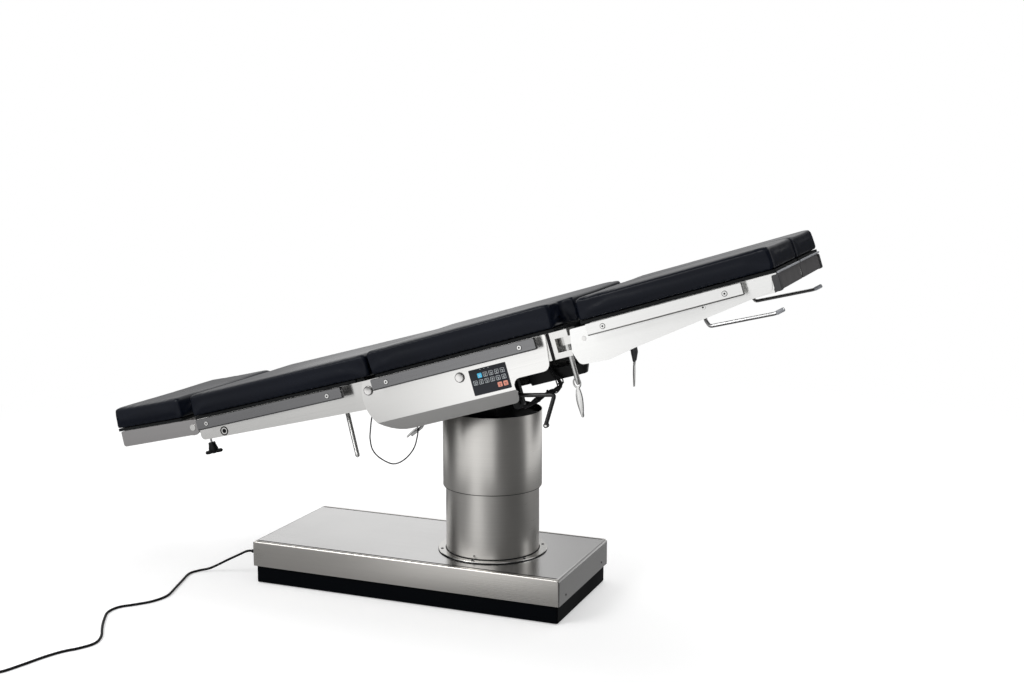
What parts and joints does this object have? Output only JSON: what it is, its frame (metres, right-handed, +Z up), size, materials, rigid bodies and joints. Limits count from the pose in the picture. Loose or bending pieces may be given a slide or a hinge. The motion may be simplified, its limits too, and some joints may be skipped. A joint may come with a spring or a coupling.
{
  "type": "operating table",
  "caption": "Operating table: lifting column on a covered base, tilting padded top with folding back, head and split leg sections, side rails and hand levers.",
  "frame": {"origin": "on the floor under the column's axis, at the underside of the base", "axes": "+Z up, +X towards the foot end, -Y towards the side with the control panel"},
  "size_m": [1.9329, 1.4162, 1.0207],
  "materials": {
    "brushed_sheet": "brushed stainless sheet",
    "bright_sheet": "fine-brushed pale stainless sheet",
    "chrome": "polished chrome",
    "black_paint": "satin black paint",
    "pad_cover": "black artificial leather, smooth and slightly glossy",
    "board": "matt black laminate",
    "cable": "black cable sheath",
    "housing": "dark grey moulded housing",
    "keypad": "black membrane panel with backlit keys"
  },
  "bodies": {
    "base": {"base_chassis": "black_paint", "base_cover_top": "brushed_sheet", "base_cover_front": "brushed_sheet", "base_cover_rear": "brushed_sheet", "column_flange_ring": "brushed_sheet", "column_lower_sleeve": "brushed_sheet", "lift_cylinder": "black_paint", "power_unit": "housing", "battery_pack": "housing", "cord_gland": "cable", "mains_cord": "cable", "cord_coil": "cable", "mains_plug": "cable"},
    "middle_stage": {"column_middle_sleeve": "brushed_sheet"},
    "lift": {"column_upper_sleeve": "brushed_sheet", "lift_ram": "chrome", "column_head": "black_paint"},
    "tilt": {"tilt_block": "black_paint"},
    "seat": {"seat_frame": "black_paint", "seat_board": "board", "seat_pad": "pad_cover", "keypad": "keypad", "cable_loop": "cable", "cable_hook": "chrome", "wiring_harness": "cable", "near_seat_cover": "bright_sheet", "far_seat_cover": "bright_sheet", "near_seat_rail": "brushed_sheet", "far_seat_rail": "brushed_sheet", "near_leg_clevis": "brushed_sheet", "far_leg_clevis": "brushed_sheet", "near_underframe_arm": "black_paint", "far_underframe_arm": "black_paint"},
    "crank": {"crank_lever": "black_paint"},
    "back": {"back_frame": "brushed_sheet", "back_board": "board", "back_pad": "pad_cover", "near_back_rail": "brushed_sheet", "far_back_rail": "brushed_sheet"},
    "back_release": {"back_release_rod": "chrome"},
    "near_head_lock": {"near_head_lock_knob": "black_paint"},
    "far_head_lock": {"far_head_lock_knob": "black_paint"},
    "head": {"head_frame": "brushed_sheet", "head_board": "board", "head_pad": "pad_cover"},
    "near_clamp": {"near_clamp_lever": "chrome"},
    "near_lug": {"near_leg_lug": "brushed_sheet"},
    "near_leg": {"near_leg_frame": "bright_sheet", "near_leg_rail": "brushed_sheet", "near_leg_board": "board", "near_leg_pad": "pad_cover"},
    "near_wire": {"near_release_wire": "chrome"},
    "far_clamp": {"far_clamp_lever": "chrome"},
    "far_lug": {"far_leg_lug": "brushed_sheet"},
    "far_leg": {"far_leg_frame": "bright_sheet", "far_leg_rail": "brushed_sheet", "far_leg_board": "board", "far_leg_pad": "pad_cover"},
    "far_wire": {"far_release_wire": "chrome"}
  },
  "joints": [
    {"name": "column_lift", "type": "slide", "parent": "base", "child": "lift", "axis": [0, 0, 1], "range_m": [-0.07, 0.19]},
    {"name": "middle_stage_slide", "type": "slide", "parent": "base", "child": "middle_stage", "axis": [0, 0, 1], "range_m": [-0.035, 0.095]},
    {"name": "table_tilt", "type": "hinge", "parent": "lift", "child": "tilt", "pos_m": [0, 0, 0.62], "axis": [0, 1, 0], "range_deg": [-8, 41.8]},
    {"name": "table_roll", "type": "hinge", "parent": "tilt", "child": "seat", "pos_m": [0, 0, 0.62], "axis": [0.9569, 0, 0.2904], "range_deg": [-15, 15]},
    {"name": "back_fold", "type": "hinge", "parent": "seat", "child": "back", "pos_m": [-0.24169, 0, 0.60271], "axis": [0, -1, 0], "range_deg": [-75, 10], "deforming": ["back_pad"]},
    {"name": "head_fold", "type": "hinge", "parent": "back", "child": "head", "pos_m": [-0.81443, 0, 0.45009], "axis": [0, -1, 0], "range_deg": [-25, 75]},
    {"name": "back_release_swing", "type": "hinge", "parent": "back", "child": "back_release", "pos_m": [-0.3236, -0.24, 0.54082], "axis": [0, 1, 0], "range_deg": [0, 20], "stiffness_Nm_per_rad": 0.5},
    {"name": "near_head_lock_turn", "type": "hinge", "parent": "back", "child": "near_head_lock", "pos_m": [-0.74961, -0.24, 0.38714], "axis": [-0.2677, 0, 0.9635], "range_deg": [0, 90]},
    {"name": "far_head_lock_turn", "type": "hinge", "parent": "back", "child": "far_head_lock", "pos_m": [-0.74961, 0.24, 0.38714], "axis": [-0.2677, 0, 0.9635], "range_deg": [0, 90]},
    {"name": "crank_swing", "type": "hinge", "parent": "seat", "child": "crank", "pos_m": [0.14909, -0.222, 0.61083], "axis": [0, 1, 0], "range_deg": [-20, 20]},
    {"name": "near_clamp_turn", "type": "hinge", "parent": "seat", "child": "near_clamp", "pos_m": [0.33474, -0.236, 0.65337], "axis": [-0.2904, 0, 0.9569], "range_deg": [-90, 90]},
    {"name": "near_leg_spread", "type": "hinge", "parent": "seat", "child": "near_lug", "pos_m": [0.29751, -0.236, 0.77604], "axis": [0.2904, 0, -0.9569], "range_deg": [0, 60]},
    {"name": "near_leg_fold", "type": "hinge", "parent": "near_lug", "child": "near_leg", "pos_m": [0.35782, -0.236, 0.77773], "axis": [0, -1, 0], "range_deg": [-90, 10]},
    {"name": "near_wire_squeeze", "type": "hinge", "parent": "near_leg", "child": "near_wire", "pos_m": [0.65672, -0.25, 0.86996], "axis": [0, -1, 0], "range_deg": [0, 8], "stiffness_Nm_per_rad": 3, "springref_deg": -2.86},
    {"name": "far_clamp_turn", "type": "hinge", "parent": "seat", "child": "far_clamp", "pos_m": [0.33474, 0.236, 0.65337], "axis": [-0.2904, 0, 0.9569], "range_deg": [-90, 90]},
    {"name": "far_leg_spread", "type": "hinge", "parent": "seat", "child": "far_lug", "pos_m": [0.29751, 0.236, 0.77604], "axis": [-0.2904, 0, 0.9569], "range_deg": [0, 60]},
    {"name": "far_leg_fold", "type": "hinge", "parent": "far_lug", "child": "far_leg", "pos_m": [0.35782, 0.236, 0.77773], "axis": [0, -1, 0], "range_deg": [-90, 10]},
    {"name": "far_wire_squeeze", "type": "hinge", "parent": "far_leg", "child": "far_wire", "pos_m": [0.65672, 0.25, 0.86996], "axis": [0, -1, 0], "range_deg": [0, 8], "stiffness_Nm_per_rad": 3, "springref_deg": -2.86}
  ],
  "couplings": [
    {"joint": "middle_stage_slide", "follows": "column_lift", "ratio": 0.5}
  ]
}
